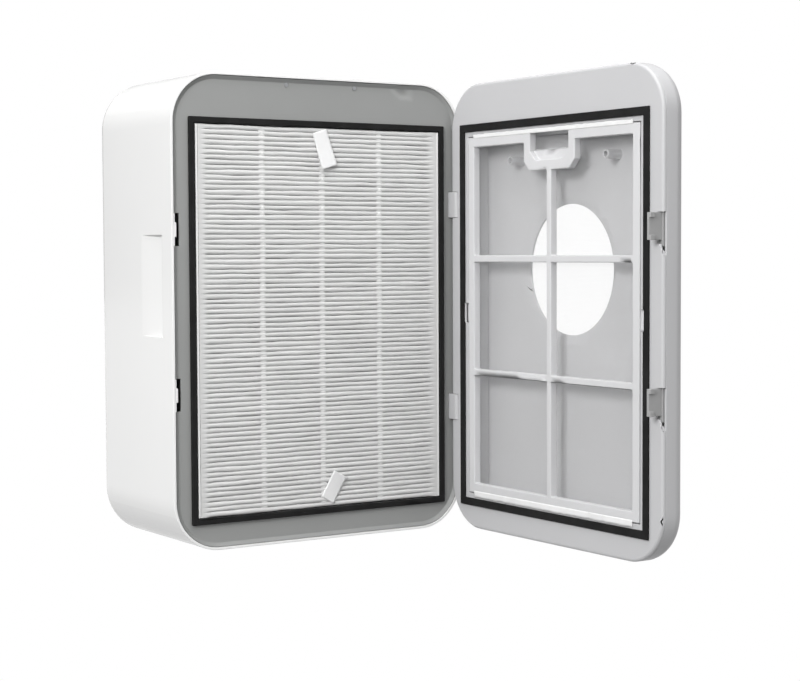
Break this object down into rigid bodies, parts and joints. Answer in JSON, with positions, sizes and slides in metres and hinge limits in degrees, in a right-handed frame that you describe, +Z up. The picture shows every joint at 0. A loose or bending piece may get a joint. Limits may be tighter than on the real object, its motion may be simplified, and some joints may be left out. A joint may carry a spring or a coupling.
{
  "type": "air purifier",
  "caption": "Wall air purifier: a round-cornered housing with a pleated filter cartridge and a fan, and a hinged, latched cover with a prefilter grid and a duct opening, shown open.",
  "frame": {"origin": "centre of the housing's flat bottom, at half its depth", "axes": "+Z up; -Y is the side with the filter bay and the cover, +Y is the smooth room side with the control panel; +X is the hinge side. At rest the cover stands open at 90 degrees, in the YZ plane."},
  "size_m": [0.3588, 0.5141, 0.47],
  "materials": {
    "white_shell": "glossy moulded",
    "cover_plastic": "satin moulded",
    "grey_plate": "satin moulded",
    "latch_grey": "satin moulded",
    "fan_plastic": "satin moulded",
    "black_plastic": "glossy",
    "gasket": "matte sponge",
    "steel": "zinc plated",
    "board": "laminate",
    "motor_metal": "satin",
    "filter_paper": "pleated fibre sheet",
    "filter_card": "smooth white card",
    "glue": "hot-melt",
    "ribbon": "woven ribbon",
    "net": "fine woven net"
  },
  "bodies": {
    "housing": {"outer_shell": "white_shell", "bay_frame": "grey_plate", "bay_gasket": "gasket", "bay_screws": "steel", "latch_keeper_upper": "white_shell", "latch_keeper_lower": "white_shell", "hinge_bracket_upper": "cover_plastic", "hinge_bracket_lower": "cover_plastic", "hinge_screws": "steel", "inlet_guard": "grey_plate", "bell_mouth": "fan_plastic", "scroll_front": "fan_plastic", "scroll_housing": "fan_plastic", "scroll_screws": "steel", "motor": "motor_metal", "motor_bracket": "steel", "motor_dampers": "gasket", "motor_screws": "steel", "outlet_grille": "white_shell", "control_panel": "black_plastic", "control_board": "board", "power_board": "board", "power_inlet": "black_plastic", "inlet_screws": "steel"},
    "cover": {"cover_shell": "cover_plastic", "cover_rim": "cover_plastic", "cover_gasket": "gasket", "cover_screws": "steel", "hinge_pin_upper": "steel", "hinge_pin_lower": "steel"},
    "latch_top": {"latch_upper": "latch_grey"},
    "latch_bottom": {"latch_lower": "latch_grey"},
    "filter_cartridge": {"filter_frame": "filter_card", "filter_media": "filter_paper", "filter_beads": "glue", "filter_seal": "gasket", "pull_tab_top": "ribbon", "pull_tab_bottom": "ribbon"},
    "prefilter": {"prefilter_frame": "white_shell", "prefilter_mesh": "net"},
    "rotor": {"impeller": "fan_plastic", "motor_shaft": "steel"},
    "button": {"power_button": "latch_grey", "button_plunger": "black_plastic"}
  },
  "joints": [
    {"name": "cover_hinge", "type": "hinge", "parent": "housing", "child": "cover", "pos_m": [0.1625, -0.0942, 0.235], "axis": [0, 0, 1], "range_deg": [-90, 2.5]},
    {"name": "latch_upper_slide", "type": "slide", "parent": "cover", "child": "latch_top", "axis": [0, 0, -1], "range_m": [0, 0.003]},
    {"name": "latch_lower_slide", "type": "slide", "parent": "cover", "child": "latch_bottom", "axis": [0, 0, -1], "range_m": [0, 0.003]},
    {"name": "filter_slide", "type": "slide", "parent": "housing", "child": "filter_cartridge", "axis": [0, -1, 0], "range_m": [0, 0.05]},
    {"name": "prefilter_slide", "type": "slide", "parent": "cover", "child": "prefilter", "axis": [-1, 0, 0], "range_m": [0, 0.012]},
    {"name": "impeller_spin", "type": "hinge", "parent": "housing", "child": "rotor", "pos_m": [-0.01, 0, 0.205], "axis": [0, 1, 0], "continuous": true},
    {"name": "button_press", "type": "slide", "parent": "housing", "child": "button", "axis": [0, -1, 0], "range_m": [0, 0.0012], "stiffness_N_per_m": 600}
  ]
}
